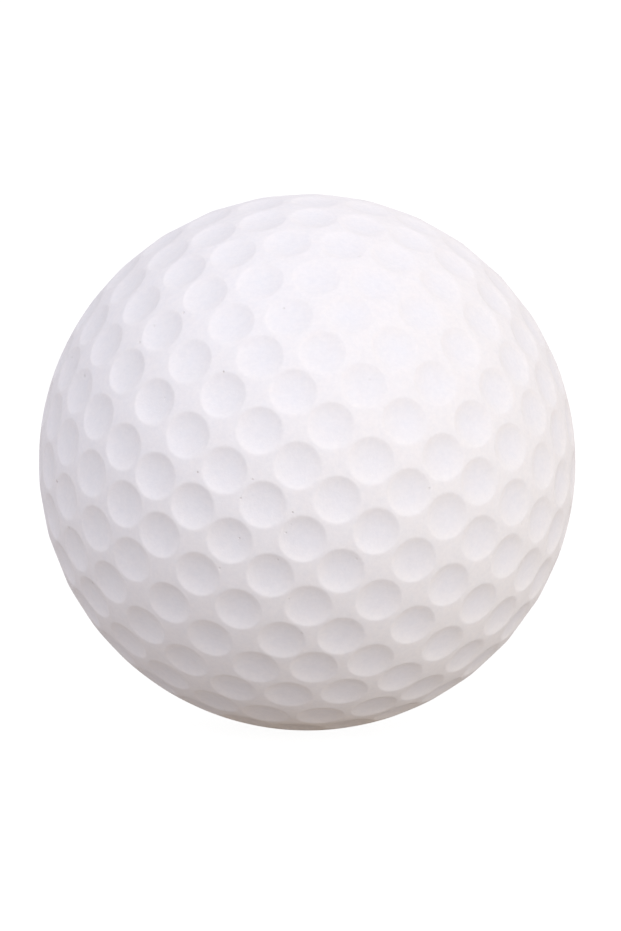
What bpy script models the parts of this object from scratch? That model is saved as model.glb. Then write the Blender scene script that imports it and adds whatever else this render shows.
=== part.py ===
"""Foam golf ball: a soft cellular core in a dense dimpled skin.

The skin is made of two identical half shells, one from each half of the mould,
which meet at the parting line. Each half carries 168 of the 336 dimples.
Units are metres, +Z is up, and the origin is the centre of the ball. The mould
axis lies along Y, with one pole facing -Y, so the parting plane is XZ.
"""
from math import atan2, cos, pi, radians, sin, sqrt

import bmesh
import bpy
from mathutils import Matrix, Vector
from mathutils.geometry import delaunay_2d_cdt

# ---------------------------------------------------------------- dimensions
BALL_DIAMETER = 0.04267        # over the lands between the dimples
SKIN_THICKNESS = 0.0012        # dense skin, measured at a land
GAP = 0.0003                   # clearance between skin and core
PARTING_GAP = 0.0002           # clearance between the two skin halves

DIMPLE_HALF_ANGLE = 5.0        # degrees at the ball's centre, 3.72 mm across
DIMPLE_FLOOR_DEPTH = 0.00029   # faceted dish with the volume of a 0.33 mm cap
DIMPLE_FLOOR_RATIO = 0.5       # floor width over dimple width
RIM_POINTS = 10
FLOOR_POINTS = 5

# Three dimple-free great circles at right angles cut the ball into 8 octants.
# Each octant holds a border row and, inside it, a triangular field.
BORDER_SIDE = 8                # dimples along one side of the border row
BORDER_INSET = 0.52            # pitches from the great circles
FIELD_SIDE = 6                 # dimples along one side of the inner field
FIELD_INSET = 1.82             # pitches from the great circles
FIELD_CORNER_OUT = 0.09        # the field's corner dimples move out, in pitches

POLE_TURN = 49.0               # turn of the dimple pattern about the mould axis
REAR_TURN = 5.625              # half a pitch: border dimples of the rear half meet gaps of the front one

EQUATOR_POINTS = 64            # outer edge of a parting face
INNER_POINTS = 32              # inner edge of a parting face
INNER_RINGS = 5                # rows of facets on the inside of a half

R_OUT = BALL_DIAMETER / 2
R_IN = R_OUT - SKIN_THICKNESS
R_CORE = R_IN - GAP


# ------------------------------------------------------------- dimple layout
def on_sphere(i, j, k, inset, n):
    """Unit direction of a lattice point: its three shares of a right angle."""
    whole = n + 3 * inset
    return Vector([sin(radians(90) * (t + inset) / whole) for t in (i, j, k)]).normalized()


def octant_dimples():
    """Centres of the 42 dimples of the octant between +X, +Y and +Z."""
    centres = []
    n = FIELD_SIDE - 1
    for i in range(n + 1):
        for j in range(n + 1 - i):
            index = [float(i), float(j), float(n - i - j)]
            if max(index) == n:
                index = [t + (FIELD_CORNER_OUT if t == n else -FIELD_CORNER_OUT / 2) for t in index]
            centres.append(on_sphere(*index, FIELD_INSET, n))
    n = BORDER_SIDE - 1
    for i in range(n + 1):
        for j in range(n + 1 - i):
            if min(i, j, n - i - j) == 0:
                centres.append(on_sphere(i, j, n - i - j, BORDER_INSET, n))
    return centres


def ring_on(centre, half_angle, count, turn):
    """Unit directions round a centre, at a half angle from it."""
    side = Vector((0, 0, 1)).cross(centre).normalized()
    up = centre.cross(side)
    ring = []
    for m in range(count):
        a = 2 * pi * (m + turn) / count
        ring.append(centre * cos(half_angle) + (side * cos(a) + up * sin(a)) * sin(half_angle))
    return ring


# ------------------------------------------------------------------- shapes
def skin_half():
    """Half shell about +Z, closed: dimpled outside, parting face, smooth inside."""
    bm = bmesh.new()
    rim_angle = radians(DIMPLE_HALF_ANGLE)
    floor_angle = rim_angle * DIMPLE_FLOOR_RATIO
    z_face = PARTING_GAP / 2

    rims, flats, edges, points = [], [], [], []

    def add(p):
        points.append(bm.verts.new(p))
        return len(points) - 1

    # the outer edge of the parting face
    r = sqrt(R_OUT ** 2 - z_face ** 2)
    equator = [add((r * cos(2 * pi * m / EQUATOR_POINTS), r * sin(2 * pi * m / EQUATOR_POINTS), z_face))
               for m in range(EQUATOR_POINTS)]
    edges += [(equator[m], equator[(m + 1) % EQUATOR_POINTS]) for m in range(EQUATOR_POINTS)]

    # rims of the dimples, mirrored from one octant into the four of this half
    for centre in octant_dimples():
        rim = ring_on(centre, rim_angle, RIM_POINTS, 0.5)
        flat = ring_on(centre, floor_angle, FLOOR_POINTS, 0.25)
        for sx in (1, -1):
            for sy in (1, -1):
                mirror = Vector((sx, sy, 1))
                ids = [add(p * mirror * R_OUT) for p in rim]
                edges += [(ids[m], ids[(m + 1) % RIM_POINTS]) for m in range(RIM_POINTS)]
                rims.append(ids)
                flats.append([p * mirror * (R_OUT * cos(rim_angle - floor_angle) - DIMPLE_FLOOR_DEPTH) for p in flat])

    # lands: a triangulation of the rims and the equator in a plane seen from the far pole
    plane = []
    for v in points:
        d = v.co.normalized()
        plane.append(Vector((d.x, d.y)) / (1 + d.z))
    owner = {v: n for n, ids in enumerate(rims) for v in ids}
    _, _, faces, origin, _, _ = delaunay_2d_cdt(plane, edges, [], 0, 1e-9)
    for face in faces:
        ids = [origin[v][0] for v in face]
        owners = {owner.get(v, -1) for v in ids}
        if len(owners) == 1 and -1 not in owners:
            continue
        bm.faces.new([points[v] for v in ids])

    # dishes: walls from each rim down to a flat floor
    step = RIM_POINTS // FLOOR_POINTS
    for ids, flat in zip(rims, flats):
        low = [bm.verts.new(p) for p in flat]
        for m in range(FLOOR_POINTS):
            a, b = low[m], low[(m + 1) % FLOOR_POINTS]
            run = [points[ids[(step * m + s) % RIM_POINTS]] for s in range(step + 1)]
            for s in range(step):
                bm.faces.new((a, run[s], run[s + 1]))
            bm.faces.new((a, run[-1], b))
        bm.faces.new(low)

    # smooth inside, from the parting face to the pole
    rows = []
    for q in range(INNER_RINGS):
        lat = (pi / 2) * q / INNER_RINGS
        z = max(R_IN * sin(lat), z_face)
        rr = sqrt(R_IN ** 2 - z ** 2)
        rows.append([bm.verts.new((rr * cos(2 * pi * m / INNER_POINTS), rr * sin(2 * pi * m / INNER_POINTS), z))
                     for m in range(INNER_POINTS)])
    top = bm.verts.new((0, 0, R_IN))
    for m in range(INNER_POINTS):
        n = (m + 1) % INNER_POINTS
        for low, high in zip(rows, rows[1:]):
            bm.faces.new((low[m], low[n], high[n], high[m]))
        bm.faces.new((rows[-1][m], rows[-1][n], top))

    # parting face, a flat ring between the outer and the inner edge
    share = EQUATOR_POINTS // INNER_POINTS
    for m in range(INNER_POINTS):
        a, b = rows[0][m], rows[0][(m + 1) % INNER_POINTS]
        run = [points[equator[(share * m + s) % EQUATOR_POINTS]] for s in range(share + 1)]
        for s in range(share):
            bm.faces.new((a, run[s], run[s + 1]))
        bm.faces.new((a, run[-1], b))

    bmesh.ops.triangulate(bm, faces=bm.faces[:])
    bmesh.ops.recalc_face_normals(bm, faces=bm.faces[:])
    mesh = bpy.data.meshes.new("skin_half")
    bm.to_mesh(mesh)
    bm.free()
    mesh.shade_smooth()
    mesh.set_sharp_from_angle(angle=radians(40))
    return mesh


def core():
    """Ball of foam that fills the two skin halves."""
    bm = bmesh.new()
    bmesh.ops.create_icosphere(bm, subdivisions=3, radius=R_CORE)
    mesh = bpy.data.meshes.new("foam_core")
    bm.to_mesh(mesh)
    bm.free()
    mesh.shade_smooth()
    return mesh


def finish(name, colour, roughness):
    material = bpy.data.materials.new(name)
    material.use_nodes = True
    shader = material.node_tree.nodes["Principled BSDF"]
    shader.inputs["Base Color"].default_value = (*colour, 1.0)
    shader.inputs["Roughness"].default_value = roughness
    shader.inputs["Metallic"].default_value = 0.0
    return material


def place(name, mesh, material, parent, turn=(0.0, 0.0, 0.0)):
    piece = bpy.data.objects.new(name, mesh)
    bpy.context.scene.collection.objects.link(piece)
    piece.parent = parent
    piece.rotation_euler = turn
    if not mesh.materials:
        mesh.materials.append(material)
    piece.material_slots[0].link = 'OBJECT'
    piece.material_slots[0].material = material
    return piece


# ----------------------------------------------------------------- assembly
for old in list(bpy.data.objects):
    bpy.data.objects.remove(old, do_unlink=True)

ball = bpy.data.objects.new("ball", None)      # its Z is the mould axis, out of the front pole
ball.rotation_euler = (radians(90), radians(-POLE_TURN), 0.0)
bpy.context.scene.collection.objects.link(ball)

half = skin_half()
place("front_skin", half, finish("front_skin", (0.86, 0.85, 0.85), 0.75), ball)
place("rear_skin", half, finish("rear_skin", (0.86, 0.85, 0.85), 0.75), ball, (pi, 0.0, radians(REAR_TURN)))
place("foam_core", core(), finish("foam_core", (0.88, 0.86, 0.80), 0.95), ball)
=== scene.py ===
"""Looks of the foam golf ball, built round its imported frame.

Two dimpled half skins of self-skinned white foam meet at a fine parting line and enclose a cellular core.
"""

from math import cos, pi, radians, sin, sqrt

import bmesh
import bpy
import numpy as np
from mathutils import Matrix, Vector, kdtree, noise
from mathutils.geometry import delaunay_2d_cdt


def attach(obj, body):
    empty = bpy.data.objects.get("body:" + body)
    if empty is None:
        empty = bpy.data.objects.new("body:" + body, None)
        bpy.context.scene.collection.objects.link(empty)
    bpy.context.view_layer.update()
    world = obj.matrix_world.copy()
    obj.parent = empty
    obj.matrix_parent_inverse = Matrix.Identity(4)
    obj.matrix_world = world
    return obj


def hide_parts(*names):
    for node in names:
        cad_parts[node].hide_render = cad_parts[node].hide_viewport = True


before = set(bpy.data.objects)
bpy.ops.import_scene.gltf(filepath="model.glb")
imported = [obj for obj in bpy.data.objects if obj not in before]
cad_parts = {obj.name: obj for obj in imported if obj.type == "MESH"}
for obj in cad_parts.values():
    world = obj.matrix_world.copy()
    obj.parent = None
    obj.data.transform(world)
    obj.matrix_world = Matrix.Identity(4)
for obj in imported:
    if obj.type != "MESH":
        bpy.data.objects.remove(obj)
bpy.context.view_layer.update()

# ------------------------------------------------------------------ the ball
MM = 0.001
R = 21.335 * MM                # over the lands
R_INSIDE = 20.135 * MM         # inside of the skin
R_CORE = 19.835 * MM           # foam core

BORDER_SIDE, BORDER_INSET = 8, 0.52
FIELD_SIDE, FIELD_INSET, FIELD_CORNER_OUT = 6, 1.82, 0.09
POLE_TURN = radians(49.0)
REAR_TURN = radians(5.625)     # of the rear half against the front one: its border row meets the gaps of the other

RHO = radians(5.02)            # half angle of a dimple
DEPTH = 0.33 * MM              # of a dimple, were it a plain bowl
FLOOR_SLOPE, RIM_SLOPE = 0.84, 1.28   # against the plain bowl: a flatter floor and a steeper rim
EDGE = 0.055                   # half width of the rounded rim, in dimple radii

# ---------------------------------------------------------------- the camera
FRAME_W, FRAME_H = 621, 931
CAM_AZIMUTH, CAM_ELEVATION = radians(1.49), radians(8.47)
CAM_DISTANCE = 40 * R
BALL_PX = (307.1, 462.2)       # centre of the ball in the photograph's frame
BALL_RADIUS_PX = 268.4

rng = np.random.default_rng(336)


# ------------------------------------------------------------- dimple layout
def on_sphere(i, j, k, inset, n):
    whole = n + 3 * inset
    v = np.sin(np.radians(90) * (np.array([i, j, k], float) + inset) / whole)
    return v / np.linalg.norm(v)


def octant_dimples():
    out = []
    n = FIELD_SIDE - 1
    for i in range(n + 1):
        for j in range(n + 1 - i):
            index = np.array([i, j, n - i - j], float)
            if index.max() == n:
                index += np.where(index == n, FIELD_CORNER_OUT, -FIELD_CORNER_OUT / 2)
            out.append(on_sphere(*index, FIELD_INSET, n))
    n = BORDER_SIDE - 1
    for i in range(n + 1):
        for j in range(n + 1 - i):
            if min(i, j, n - i - j) == 0:
                out.append(on_sphere(i, j, n - i - j, BORDER_INSET, n))
    return np.array(out)


OCTANT = octant_dimples()
HALF = np.concatenate([OCTANT * (sx, sy, 1) for sx in (1, -1) for sy in (1, -1)])
BALL = np.concatenate([HALF, HALF * (1, 1, -1)])

# local axes of each half in the row frame: columns are two pattern axes and the pole
def half_axes(turn, side):
    b, c = Vector((cos(turn), 0, sin(turn))), Vector((-sin(turn), 0, cos(turn)))
    return np.array((b, c * side, (0, -side, 0))).T


FRONT = half_axes(POLE_TURN, 1)
REAR = half_axes(POLE_TURN + REAR_TURN, -1)


# ----------------------------------------------------------- dimple profile
# The wall slope grows from the middle and rounds off over the rim.
_s = np.linspace(0, 1 + EDGE, 400)
_w = np.clip((1 + EDGE - _s) / (2 * EDGE), 0, 1)
_w = _w * _w * (3 - 2 * _w)
_slope = 2 * _s * _w * (FLOOR_SLOPE + (RIM_SLOPE - FLOOR_SLOPE) * _s * _s)
_deep = np.concatenate([np.cumsum((_slope[:0:-1] + _slope[-2::-1]) / 2 * np.diff(_s)[::-1])[::-1], [0.0]])


def dip(s):
    """Depth over DEPTH at s dimple radii from a dimple's middle."""
    return np.interp(s, _s, _deep, right=0.0)


def tangents(c):
    side = np.cross((0.0, 0.0, 1.0), c)
    side /= np.linalg.norm(side, axis=-1, keepdims=True)
    return side, np.cross(c, side)


def circle(c, angle, count, turn):
    """Unit directions round the unit direction c."""
    side, up = tangents(c)
    a = 2 * pi * (np.arange(count) + turn) / count
    return c * cos(angle) + sin(angle) * (np.cos(a)[:, None] * side + np.sin(a)[:, None] * up)


# ----------------------------------------------------------------- pinholes
# Tiny open cells in the skin. The plainest ones sit where the photograph shows them.
SEEN_PINHOLES = [  # x, y in the photograph's frame, how plain it is
    (223, 371, 1.00), (197, 472, 0.72), (292, 512, 0.70), (183, 312, 0.42), (238, 539, 0.75),
    (139, 342, 0.27), (240, 498, 0.39), (277, 560, 0.31), (56, 481, 1.00), (82, 375, 0.26),
    (252, 479, 0.43), (283, 306, 0.25), (429, 488, 0.31), (152, 324, 0.18), (356, 559, 0.25),
    (68, 528, 0.25), (91, 584, 0.58), (219, 568, 0.33), (285, 533, 0.26), (288, 599, 0.18),
    (301, 633, 0.24), (359, 255, 0.23), (370, 378, 0.17),
]


def camera_axes():
    a, e = CAM_AZIMUTH, CAM_ELEVATION
    back = Vector((sin(a) * cos(e), -cos(a) * cos(e), sin(e)))
    right = Vector((cos(a), sin(a), 0))
    return right, back.cross(right), back


def pixel_to_direction(px, py):
    """Unit direction, from the ball's centre, of the point that shows at a pixel."""
    right, up, back = camera_axes()
    far = CAM_DISTANCE / R
    f = BALL_RADIUS_PX * sqrt(far * far - 1)
    u, v = (px + 0.5 - BALL_PX[0]) / f, -(py + 0.5 - BALL_PX[1]) / f
    a = u * u + v * v + 1
    t = (far - sqrt(far * far - a * (far * far - 1))) / a
    return np.array(right * (u * t) + up * (v * t) + back * (far - t))


# The moulding isn't exact. The dimples that stray the most sit where the photograph shows them.
STRAYED = [  # x, y of where the layout puts it in the photograph's frame, and how far right and down it strays
    (288, 314, -0.2, 2.5), (346, 692, -1.9, -0.8), (312, 218, 1.1, -1.5), (481, 480, -1.9, 0.4), (262, 222, 0.9, -1.6),
    (260, 355, -1.3, 1.3), (314, 669, -0.5, -1.8), (510, 444, -0.3, 1.8), (372, 660, -1.5, 1.0), (287, 244, 0.5, -1.7),
    (471, 422, 1.3, 1.1), (320, 351, 1.3, 1.1), (122, 504, 1.6, 0.1), (131, 560, -0.9, -1.3), (288, 696, 0.1, -1.5),
    (123, 445, -0.7, 1.2), (316, 276, -0.7, 1.1), (342, 246, 0.8, -1.0), (90, 472, 0.3, 1.2), (94, 529, 1.0, -0.8),
    (542, 465, 1.2, -0.3), (533, 411, 1.1, 0.4), (528, 569, -0.2, 1.1), (258, 280, 1.0, 0.5), (481, 320, 0.7, 0.8),
]


def dimple_centres(axes, seen):
    """Unit directions of the ball's dimples in a half's own axes, the half's own ones first, as they were moulded."""
    view = np.array(camera_axes()[2]) @ axes
    centres = BALL + np.where((seen & (BALL @ view > 0.42))[:, None], 0.0, 0.02 * MM / R * rng.standard_normal(BALL.shape))
    if seen:
        for x, y, right, down in STRAYED:
            place = pixel_to_direction(x, y)
            n = np.argmax(HALF @ (place @ axes))
            centres[n] += (pixel_to_direction(x + right, y + down) - place) @ axes
    return centres / np.linalg.norm(centres, axis=1, keepdims=True)


def pinholes(axes, seen):
    """(unit direction in the half's own axes, how plain it is, radius of its mouth) of each pinhole of a half."""
    holes = []
    view = np.array(camera_axes()[2]) @ axes
    if seen:
        for x, y, plain in SEEN_PINHOLES:
            d = pixel_to_direction(x, y) @ axes
            d /= np.linalg.norm(d)
            holes.append((d, plain, (0.105 - 0.030 * plain) * MM / (d @ view) ** 0.6))
    for _ in range(64):
        d = rng.normal(size=3)
        d[2] = abs(d[2])
        d /= np.linalg.norm(d)
        plain = 0.6 * rng.random() ** 2.5
        if d[2] < 0.03 or (seen and d @ view > 0.3 and plain > 0.08):
            continue
        if any(np.linalg.norm(d - h) < 0.03 for h, _, _ in holes):
            continue
        holes.append((d, plain, (0.105 - 0.030 * plain) * MM))
    return holes


# ------------------------------------------------------------------ the skin
RINGS = [(0.16, 6), (0.32, 12), (0.47, 18), (0.60, 24), (0.72, 32), (0.82, 40), (0.90, 46),
         (0.94, 54), (0.97, 58), (1.0, 58), (1.03, 58), (1.063, 58), (1.11, 52)]
EDGE_Z = 0.005 * MM            # the halves all but touch
EQUATOR = 640
EQUATOR_ROWS = (0.05, 0.11, 0.19, 0.30)   # degrees above the parting plane


def skin_samples(holes, centres):
    """Unit directions that sample a half: rings in and round every dimple, lands, parting edge, pinholes."""
    groups = []
    tree = kdtree.KDTree(len(centres))
    for n, c in enumerate(centres):
        tree.insert(c, n)
    tree.balance()
    for n, c in enumerate(centres[:len(HALF)]):
        groups.append(c[None])
        for m, (s, count) in enumerate(RINGS):
            ring = circle(c, RHO * s, count, 0.5 * (m % 2))
            if s > 0.95:
                ring = np.array([d for d in ring if tree.find(d)[1] == n]).reshape(-1, 3)
            groups.append(ring)
    # lands: an even spiral of points, away from the dimples
    total = 62000
    k = np.arange(total // 2) + 0.5
    z = 1 - 2 * k / total
    a = pi * (1 + sqrt(5)) * k
    spiral = np.stack([np.sqrt(1 - z * z) * np.cos(a), np.sqrt(1 - z * z) * np.sin(a), z], 1)
    apart = np.max(spiral @ centres.T, axis=1)
    groups.append(spiral[apart < cos(RHO * 1.16)])
    points = np.concatenate(groups)
    points = points[points[:, 2] > sin(radians(EQUATOR_ROWS[-1] + 0.12))]

    # rows along the parting edge
    rows = []
    for q, lat in enumerate((EDGE_Z / R * 180 / pi,) + EQUATOR_ROWS):
        a = 2 * pi * (np.arange(EQUATOR) + 0.5 * (q % 2)) / EQUATOR
        la = radians(lat)
        rows.append(np.stack([cos(la) * np.cos(a), cos(la) * np.sin(a), np.full(EQUATOR, sin(la))], 1))

    # pinholes: a clear patch with rings of its own
    small = []
    for d, _, wide in holes:
        w = wide / R
        points = points[points @ d < cos(w * 2.6)]
        small.append(d[None])
        for q, (f, count) in enumerate(((0.35, 6), (0.65, 9), (0.85, 12), (1.0, 12), (1.18, 12), (1.5, 12), (2.1, 12))):
            small.append(circle(d, w * f, count, 0.5 * (q % 2)))
    small = np.concatenate(small)
    small = small[small[:, 2] > sin(radians(EQUATOR_ROWS[-1] + 0.05))]

    # no two samples closer than a few hundredths of a millimetre
    near = kdtree.KDTree(len(points))
    for n, d in enumerate(points):
        near.insert(d, n)
    near.balance()
    keep = np.ones(len(points), bool)
    for n, d in enumerate(points):
        if keep[n]:
            for _, other, _ in near.find_range(d, 0.055 * MM / R):
                if other > n:
                    keep[other] = False
    return np.concatenate([rows[0]] + rows[1:] + [points[keep], small])


def skin_heights(d, holes, centres, seed):
    """(radius, dimple mask, rim mask, painted pinhole shade) at unit directions d."""
    depth, rim = np.zeros(len(d)), np.zeros(len(d))
    # each dimple's own slight difference in depth, and shallower dimples towards the parting line
    own = 1 + 0.035 * np.random.default_rng(seed).standard_normal(len(centres))
    own *= np.interp(np.degrees(np.arcsin(np.abs(centres[:, 2]))), (14, 42), (0.85, 1.0))
    dots = d @ centres.T
    order = np.argsort(-dots, axis=1)[:, :3]
    for q in range(3):
        n = order[:, q]
        s = np.arccos(np.clip(np.take_along_axis(dots, n[:, None], 1)[:, 0], -1, 1)) / RHO
        depth += dip(s) * own[n]
        # rim mask, where the rims get painted light
        rim = np.maximum(rim, np.clip(1 - np.abs(s - 1) / 0.09, 0, 1))
    dimple = np.clip(depth / _deep[0], 0, 1)
    # the moulding isn't a perfect sphere
    soft = np.array([noise.noise(Vector(p) * 5.0) * 0.6 + noise.noise(Vector(p) * 13.0) * 0.3
                     + noise.noise(Vector(p) * 31.0) * 0.18 for p in d + seed])
    # fine knit line where the halves meet
    lat = np.degrees(np.arcsin(np.clip(d[:, 2], -1, 1)))
    knit = np.clip(1 - lat / 0.2, 0, 1) ** 2
    r = R - depth * DEPTH + soft * 0.010 * MM - knit * 0.035 * MM - 0.008 * MM
    pinhole_shade = np.zeros(len(d))
    for h, plain, w in holes:
        u = np.arccos(np.clip(d @ h, -1, 1)) * R / w
        bowl = np.clip((1.1 - u) / 0.8, 0, 1)
        bowl = bowl * bowl * (3 - 2 * bowl)
        r -= bowl * w * (0.12 + 0.80 * plain)
        # painted shade: how much darker each pinhole is painted
        pinhole_shade = np.maximum(pinhole_shade, np.clip((1.3 - u) / 0.8, 0, 1) * (0.03 + 0.42 * plain))
    return r, dimple, rim, pinhole_shade


def skin(name, axes, seed, seen):
    centres, holes = dimple_centres(axes, seen), pinholes(axes, seen)
    d = skin_samples(holes, centres)
    r, dimple, rim, pinhole_shade = skin_heights(d, holes, centres, seed)
    flat = [Vector((x / (1 + z), y / (1 + z))) for x, y, z in d]
    _, _, faces, origin, _, _ = delaunay_2d_cdt(flat, [], [], 0, 1e-10)
    faces = [[origin[v][0] for v in f] for f in faces]
    outer = d * r[:, None]
    outer[:EQUATOR, 2] = EDGE_Z
    count = len(outer)

    # inside of the shell and the parting face
    seg, rows = 80, 14
    inner = []
    for q in range(rows):
        la = (pi / 2) * q / rows
        z = max(R_INSIDE * sin(la), EDGE_Z)
        rr = sqrt(R_INSIDE ** 2 - z * z)
        inner += [(rr * cos(2 * pi * m / seg), rr * sin(2 * pi * m / seg), z) for m in range(seg)]
    inner.append((0, 0, R_INSIDE))
    top = count + seg * rows
    for m in range(seg):
        n = (m + 1) % seg
        for q in range(rows - 1):
            a, b = count + q * seg, count + (q + 1) * seg
            faces += [[a + n, a + m, b + m], [a + n, b + m, b + n]]
        a = count + (rows - 1) * seg
        faces.append([a + n, a + m, top])
        share = EQUATOR // seg
        run = [(share * m + s) % EQUATOR for s in range(share + 1)]
        faces += [[count + m, run[s + 1], run[s]] for s in range(share)]
        faces.append([count + m, count + n, run[-1]])

    points = np.concatenate([outer, np.array(inner)])
    mesh = bpy.data.meshes.new(name)
    mesh.from_pydata((points @ axes.T).tolist(), [], faces)
    mesh.validate()
    mesh.shade_smooth()
    mesh.set_sharp_from_angle(angle=radians(65))

    zeros = np.zeros(len(inner))
    for label, values in (("dimple", dimple), ("rim", rim), ("pinhole_shade", pinhole_shade)):
        values = np.concatenate([values, zeros]).astype(np.float32)
        mesh.attributes.new(label, 'FLOAT', 'POINT').data.foreach_set("value", values)

    # one round map for the outside and a small one for the inside
    polar = np.arccos(np.clip(points[:, 2] / np.linalg.norm(points, axis=1), -1, 1)) / (pi / 2)
    turn = np.arctan2(points[:, 1], points[:, 0])
    is_in = np.arange(len(points)) >= count
    uv = np.where(is_in[:, None], (0.935, 0.065) + 0.052 * (polar * (np.cos(turn), np.sin(turn))).T,
                  (0.465, 0.535) + 0.455 * (polar * (np.cos(turn), np.sin(turn))).T)
    loops = np.empty(len(mesh.loops), np.int32)
    mesh.loops.foreach_get("vertex_index", loops)
    own = uv[loops]
    ring = np.empty(len(mesh.polygons) * 3, np.int32)
    mesh.polygons.foreach_get("vertices", ring)
    ring = ring.reshape(-1, 3)
    mixed = (ring >= count).any(1) & (ring < count).any(1)      # the parting face goes with the inside
    edge = (0.935, 0.065) + 0.060 * np.stack([np.cos(turn), np.sin(turn)], 1)
    pick = np.repeat(mixed, 3) & (loops < count)
    own[pick] = edge[loops[pick]]
    layer = mesh.uv_layers.new(name="OFBake")
    layer.data.foreach_set("uv", own.astype(np.float32).ravel())

    piece = bpy.data.objects.new(name, mesh)
    bpy.context.scene.collection.objects.link(piece)
    return piece


# ------------------------------------------------------------------ the core
def core(name):
    """Cellular foam: a ball whose surface is broken into cells."""
    bm = bmesh.new()
    bmesh.ops.create_icosphere(bm, subdivisions=6, radius=1.0)
    for v in bm.verts:
        d = v.co.normalized()
        near, _ = noise.voronoi(d * 14.0)
        cell = min(1.0, (near[1] - near[0]) * 2.2)
        fine, _ = noise.voronoi(d * 34.0)
        v.co = d * (R_CORE - MM * (0.10 + 0.34 * cell + 0.12 * min(1.0, (fine[1] - fine[0]) * 2.0)))
    mesh = bpy.data.meshes.new(name)
    bm.to_mesh(mesh)
    bm.free()
    mesh.shade_smooth()
    piece = bpy.data.objects.new(name, mesh)
    bpy.context.scene.collection.objects.link(piece)
    return piece


# ----------------------------------------------------------------- materials
class Nodes:
    """Short hand for a node tree."""

    def __init__(self, tree):
        self.tree = tree

    def add(self, kind, **settings):
        node = self.tree.nodes.new(kind)
        for key, value in settings.items():
            setattr(node, key, value)
        return node

    def link(self, a, b):
        self.tree.links.new(a, b)

    def put(self, socket, value):
        if isinstance(value, bpy.types.NodeSocket):
            self.link(value, socket)
        else:
            socket.default_value = value

    def math(self, operation, a, b=0.0, clamp=False):
        node = self.add("ShaderNodeMath", operation=operation, use_clamp=clamp)
        self.put(node.inputs[0], a)
        self.put(node.inputs[1], b)
        return node.outputs[0]

    def vector(self, operation, a, b=(0, 0, 0)):
        node = self.add("ShaderNodeVectorMath", operation=operation)
        self.put(node.inputs[0], a)
        self.put(node.inputs[1], b)
        return node.outputs["Value" if operation == "DOT_PRODUCT" else "Vector"]

    def mix(self, factor, a, b, blend='MIX'):
        node = self.add("ShaderNodeMix", data_type='RGBA', blend_type=blend)
        self.put(node.inputs["Factor"], factor)
        self.put(node.inputs["A"], a)
        self.put(node.inputs["B"], b)
        return node.outputs["Result"]

    def noise(self, where, scale, detail=2.0, rough=0.5):
        node = self.add("ShaderNodeTexNoise")
        self.link(where, node.inputs["Vector"])
        node.inputs["Scale"].default_value = scale
        node.inputs["Detail"].default_value = detail
        node.inputs["Roughness"].default_value = rough
        return node.outputs["Fac"]

    def ramp(self, value, low, high, out_low=0.0, out_high=1.0):
        node = self.add("ShaderNodeMapRange")
        self.put(node.inputs["Value"], value)
        for key, v in (("From Min", low), ("From Max", high), ("To Min", out_low), ("To Max", out_high)):
            node.inputs[key].default_value = v
        return node.outputs["Result"]

    def attribute(self, label):
        return self.add("ShaderNodeAttribute", attribute_name=label).outputs["Fac"]


def rgba(r, g, b):
    return (r, g, b, 1.0)


def new_material(name):
    material = bpy.data.materials.new(name)
    material.use_nodes = True
    n = Nodes(material.node_tree)
    return material, n, material.node_tree.nodes["Principled BSDF"]


LAND_COOL = rgba(0.880, 0.858, 0.880)      # lands towards the upper left, and lands a little warmer towards the lower right
LAND_WARM = rgba(0.882, 0.857, 0.853)
# painted shade: the dimple hollows darker and a little bluer than the lands
HOLLOW_PAINTED_SHADE = rgba(0.861, 0.847, 0.873)
# painted light: the rims of the dimples a little lighter than the lands
RIM_PAINTED_LIGHT = rgba(0.892, 0.868, 0.878)


def skin_material():
    material, n, shader = new_material("foam_skin")
    where = n.add("ShaderNodeTexCoord").outputs["Object"]
    dimple, rim, pinhole_shade = n.attribute("dimple"), n.attribute("rim"), n.attribute("pinhole_shade")

    cloud = n.noise(where, 140.0, 3.0)          # broad patches, some 7 mm across
    mottle = n.noise(where, 900.0, 2.0, 0.5)    # about 1 mm
    blotch = n.noise(where, 1700.0, 1.0, 0.5)
    speckle = n.noise(where, 3000.0, 1.0, 0.5)  # about 0.3 mm
    grain = n.noise(where, 5600.0, 2.0, 0.6)    # cells of the skin, about 0.2 mm

    # lands go from cooler at the upper left to warmer at the lower right
    warmer_to_lower_right = n.ramp(n.vector('DOT_PRODUCT', where, (0.857, 0.0, -0.514)), -0.8 * R, 0.8 * R)
    colour = n.mix(warmer_to_lower_right, LAND_COOL, LAND_WARM)
    # painted light on the dimple rims, by the rim mask
    colour = n.mix(n.ramp(rim, 0.0, 1.0, 0.0, 0.4), colour, RIM_PAINTED_LIGHT)
    # painted shade in the dimple hollows, by the dimple mask
    colour = n.mix(n.ramp(dimple, 0.20, 1.0), colour, HOLLOW_PAINTED_SHADE)
    for pattern, low, high, tint in (
            (cloud, 0.35, 0.68, rgba(1.000, 0.998, 0.992)),
            (mottle, 0.30, 0.72, rgba(0.996, 0.990, 0.984)),
            (blotch, 0.30, 0.72, rgba(0.976, 0.984, 0.992)),
            (speckle, 0.30, 0.72, rgba(0.973, 0.974, 0.980)),
            (grain, 0.28, 0.74, rgba(0.980, 0.980, 0.984))):
        colour = n.mix(n.ramp(pattern, low, high), colour, tint, 'MULTIPLY')
    # painted shade: the pinholes darkened towards dark brown
    colour = n.mix(pinhole_shade, colour, rgba(0.34, 0.27, 0.23))
    n.link(colour, shader.inputs["Base Color"])

    n.link(n.ramp(n.math('ADD', grain, n.math('MULTIPLY', mottle, 0.5)), 0.4, 1.1, 0.66, 0.86), shader.inputs["Roughness"])
    shader.inputs["Specular IOR Level"].default_value = 0.28

    height = n.math('ADD', grain, n.math('MULTIPLY', speckle, 0.35))
    bump = n.add("ShaderNodeBump")
    bump.inputs["Strength"].default_value = 0.25
    bump.inputs["Distance"].default_value = 0.04 * MM
    n.link(height, bump.inputs["Height"])
    n.link(bump.outputs["Normal"], shader.inputs["Normal"])
    return material


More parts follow.
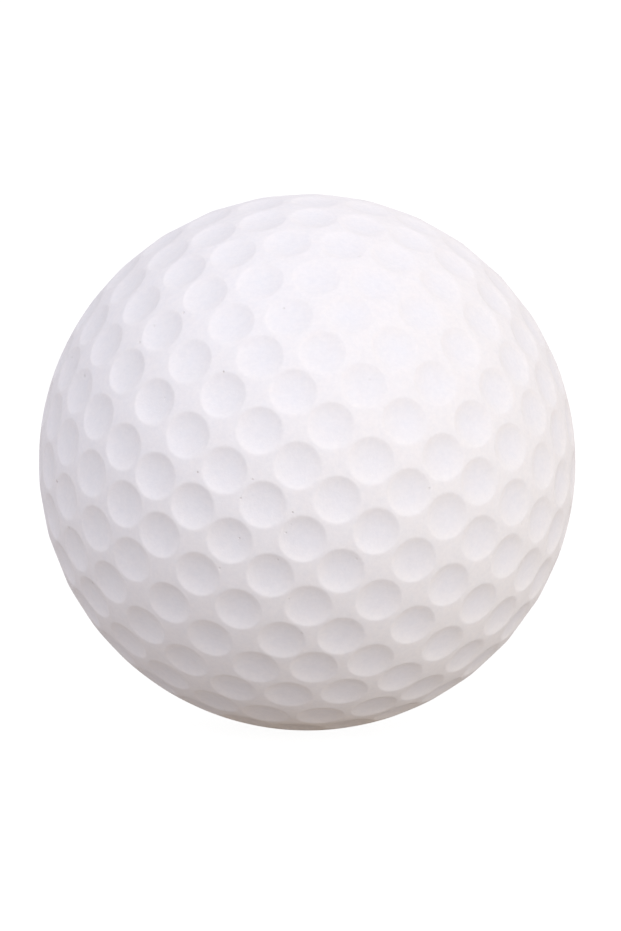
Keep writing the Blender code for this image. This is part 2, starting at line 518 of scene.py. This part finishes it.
def core_material():
    material, n, shader = new_material("foam_cells")
    where = n.add("ShaderNodeTexCoord").outputs["Object"]
    cells = n.add("ShaderNodeTexVoronoi", feature='DISTANCE_TO_EDGE')
    n.link(where, cells.inputs["Vector"])
    cells.inputs["Scale"].default_value = 1600.0
    wall = n.ramp(cells.outputs["Distance"], 0.0, 0.12)
    cloud = n.noise(where, 300.0, 3.0)
    # painted shade: the sunken hollows of the cells darker than their walls
    colour = n.mix(wall, rgba(0.90, 0.88, 0.82), rgba(0.74, 0.71, 0.64))
    colour = n.mix(n.ramp(cloud, 0.3, 0.7, 0.0, 0.4), colour, rgba(0.86, 0.83, 0.74))
    n.link(colour, shader.inputs["Base Color"])
    n.link(n.ramp(cloud, 0.3, 0.7, 0.88, 0.98), shader.inputs["Roughness"])
    shader.inputs["Specular IOR Level"].default_value = 0.2
    bump = n.add("ShaderNodeBump", invert=True)
    bump.inputs["Strength"].default_value = 0.8
    bump.inputs["Distance"].default_value = 0.15 * MM
    n.link(wall, bump.inputs["Height"])
    n.link(bump.outputs["Normal"], shader.inputs["Normal"])
    return material


# ------------------------------------------------------------------ assembly
front = skin("front_skin_moulded", FRONT, 1, True)
rear = skin("rear_skin_moulded", REAR, 2, False)
middle = core("foam_core_cells")

foam_skin = skin_material()
for piece, node in ((front, "front_skin"), (rear, "rear_skin")):
    piece.data.materials.append(foam_skin)
    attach(piece, "root")
    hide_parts(node)
middle.data.materials.append(core_material())
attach(middle, "root")
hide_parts("foam_core")

# --------------------------------------------------------------------- stage
def prop(name, points, faces, seen_by):
    """A piece of the stage, which only the named kinds of ray meet."""
    mesh = bpy.data.meshes.new(name)
    mesh.from_pydata(points, [], faces)
    o = bpy.data.objects.new(name, mesh)
    bpy.context.scene.collection.objects.link(o)
    for ray in ("camera", "diffuse", "glossy", "transmission", "volume_scatter", "shadow"):
        setattr(o, "visible_" + ray, ray in seen_by)
    return o


def disc(height, radius, count=96):
    return [(radius * cos(2 * pi * m / count), radius * sin(2 * pi * m / count), height) for m in range(count)]


# The camera sees a white floor and a white dome. The light meets a dull warm table just below the floor,
# warmest under the ball.
floor = prop("floor", disc(-R - 0.02 * MM, 2.2), [list(range(96))], ("camera",))
floor_paint, n, shader = new_material("floor_white")
shader.inputs["Base Color"].default_value = rgba(0.12, 0.12, 0.12)
shader.inputs["Roughness"].default_value = 0.9
shader.inputs["Specular IOR Level"].default_value = 0.0
shader.inputs["Emission Color"].default_value = rgba(1, 1, 1)
shader.inputs["Emission Strength"].default_value = 0.95
back_face = n.add("ShaderNodeNewGeometry").outputs["Backfacing"]
both = n.add("ShaderNodeMixShader")
n.link(back_face, both.inputs[0])
n.link(shader.outputs[0], both.inputs[1])
n.link(n.add("ShaderNodeBsdfTransparent").outputs[0], both.inputs[2])
n.link(both.outputs[0], floor_paint.node_tree.nodes["Material Output"].inputs["Surface"])
floor.data.materials.append(floor_paint)

levels = [disc(2.0 * sin(radians(la)), 2.0 * cos(radians(la)), 48) for la in range(-84, 85, 12)]
dome = prop("dome", sum(levels, []) + [(0, 0, -2.0), (0, 0, 2.0)],
            [[q * 48 + m, q * 48 + (m + 1) % 48, (q + 1) * 48 + (m + 1) % 48, (q + 1) * 48 + m]
             for q in range(len(levels) - 1) for m in range(48)]
            + [[(m + 1) % 48, m, len(levels) * 48] for m in range(48)]
            + [[len(levels) * 48 - 48 + m, len(levels) * 48 - 48 + (m + 1) % 48, len(levels) * 48 + 1] for m in range(48)],
            ("camera",))
dome_paint, n, shader = new_material("dome_white")
shader.inputs["Base Color"].default_value = rgba(0.0, 0.0, 0.0)
shader.inputs["Specular IOR Level"].default_value = 0.0
shader.inputs["Emission Color"].default_value = rgba(1, 1, 1)
shader.inputs["Emission Strength"].default_value = 1.0
dome.data.materials.append(dome_paint)

TABLE = (0.560, 0.520, 0.480)
table = prop("table", disc(-R - 2.0 * MM, 6.0), [list(range(96))], ("diffuse", "glossy", "transmission", "shadow"))
table_paint, n, shader = new_material("table_dull")
shader.inputs["Base Color"].default_value = rgba(*TABLE)
shader.inputs["Roughness"].default_value = 1.0
shader.inputs["Specular IOR Level"].default_value = 0.0
table.data.materials.append(table_paint)

near = prop("table_near", disc(-R - 1.95 * MM, 10.5 * MM), [list(range(96))], ("diffuse", "glossy", "transmission", "shadow"))
near_paint, n, shader = new_material("table_warm")
shader.inputs["Base Color"].default_value = rgba(TABLE[0] * 1.10, TABLE[1], TABLE[2] * 0.86)
shader.inputs["Roughness"].default_value = 1.0
shader.inputs["Specular IOR Level"].default_value = 0.0
near.data.materials.append(near_paint)

# A white tent with soft lamps round it. Each lamp is a smooth patch of the tent: azimuth from the front towards
# the right, elevation, colour. The rest of the tent glows faintly.
LAMP_TIGHTNESS = 24.0
TENT_GLOW = (0.275, 0.264, 0.304)
LAMPS = [
    (0, 12, (1.34, 1.42, 1.64)),
    (45, 12, (4.17, 4.16, 4.12)),
    (90, 12, (1.41, 1.39, 1.33)),
    (135, 12, (1.53, 1.52, 1.53)),
    (180, 12, (1.46, 1.46, 1.46)),
    (-90, 12, (1.00, 1.04, 1.09)),
    (-45, 12, (0.01, 0.09, 0.24)),
    (45, 45, (3.14, 3.11, 2.99)),
    (90, 45, (0.09, 0.06, 0.00)),
    (180, 45, (1.43, 1.41, 1.42)),
    (-135, 45, (0.60, 0.59, 0.59)),
    (-90, 45, (1.09, 1.10, 1.11)),
    (-45, 45, (3.37, 3.41, 3.47)),
    (0, 80, (0.18, 0.12, 0.00)),
]


def tent():
    world = bpy.data.worlds.new("tent")
    world.use_nodes = True
    n = Nodes(world.node_tree)
    where = n.add("ShaderNodeTexCoord").outputs["Generated"]
    total = TENT_GLOW
    for azimuth, elevation, colour in LAMPS:
        a, e = radians(azimuth), radians(elevation)
        facing = n.vector('DOT_PRODUCT', where, (sin(a) * cos(e), -cos(a) * cos(e), sin(e)))
        patch = n.math('POWER', n.math('MAXIMUM', facing, 0.0), LAMP_TIGHTNESS)
        lit = n.add("ShaderNodeVectorMath", operation='SCALE')
        lit.inputs[0].default_value = colour
        n.link(patch, lit.inputs["Scale"])
        total = n.vector('ADD', lit.outputs[0], total)
    n.link(total, world.node_tree.nodes["Background"].inputs["Color"])
    bpy.context.scene.world = world


tent()


# -------------------------------------------------------------------- camera
right, up, back = camera_axes()
camera_data = bpy.data.cameras.new("camera")
camera = bpy.data.objects.new("camera", camera_data)
bpy.context.scene.collection.objects.link(camera)
camera.matrix_world = Matrix((
    (right.x, up.x, back.x, back.x * CAM_DISTANCE),
    (right.y, up.y, back.y, back.y * CAM_DISTANCE),
    (right.z, up.z, back.z, back.z * CAM_DISTANCE),
    (0, 0, 0, 1)))
camera_data.sensor_width = 36.0
camera_data.lens = BALL_RADIUS_PX * sqrt((CAM_DISTANCE / R) ** 2 - 1) / FRAME_H * 36.0
camera_data.shift_x = (FRAME_W / 2 - BALL_PX[0]) / FRAME_H
camera_data.shift_y = (BALL_PX[1] - FRAME_H / 2) / FRAME_H
camera_data.clip_start, camera_data.clip_end = 0.05, 30.0
bpy.context.scene.camera = camera

view = bpy.context.scene.view_settings
view.view_transform = 'Standard'
view.look = 'None'
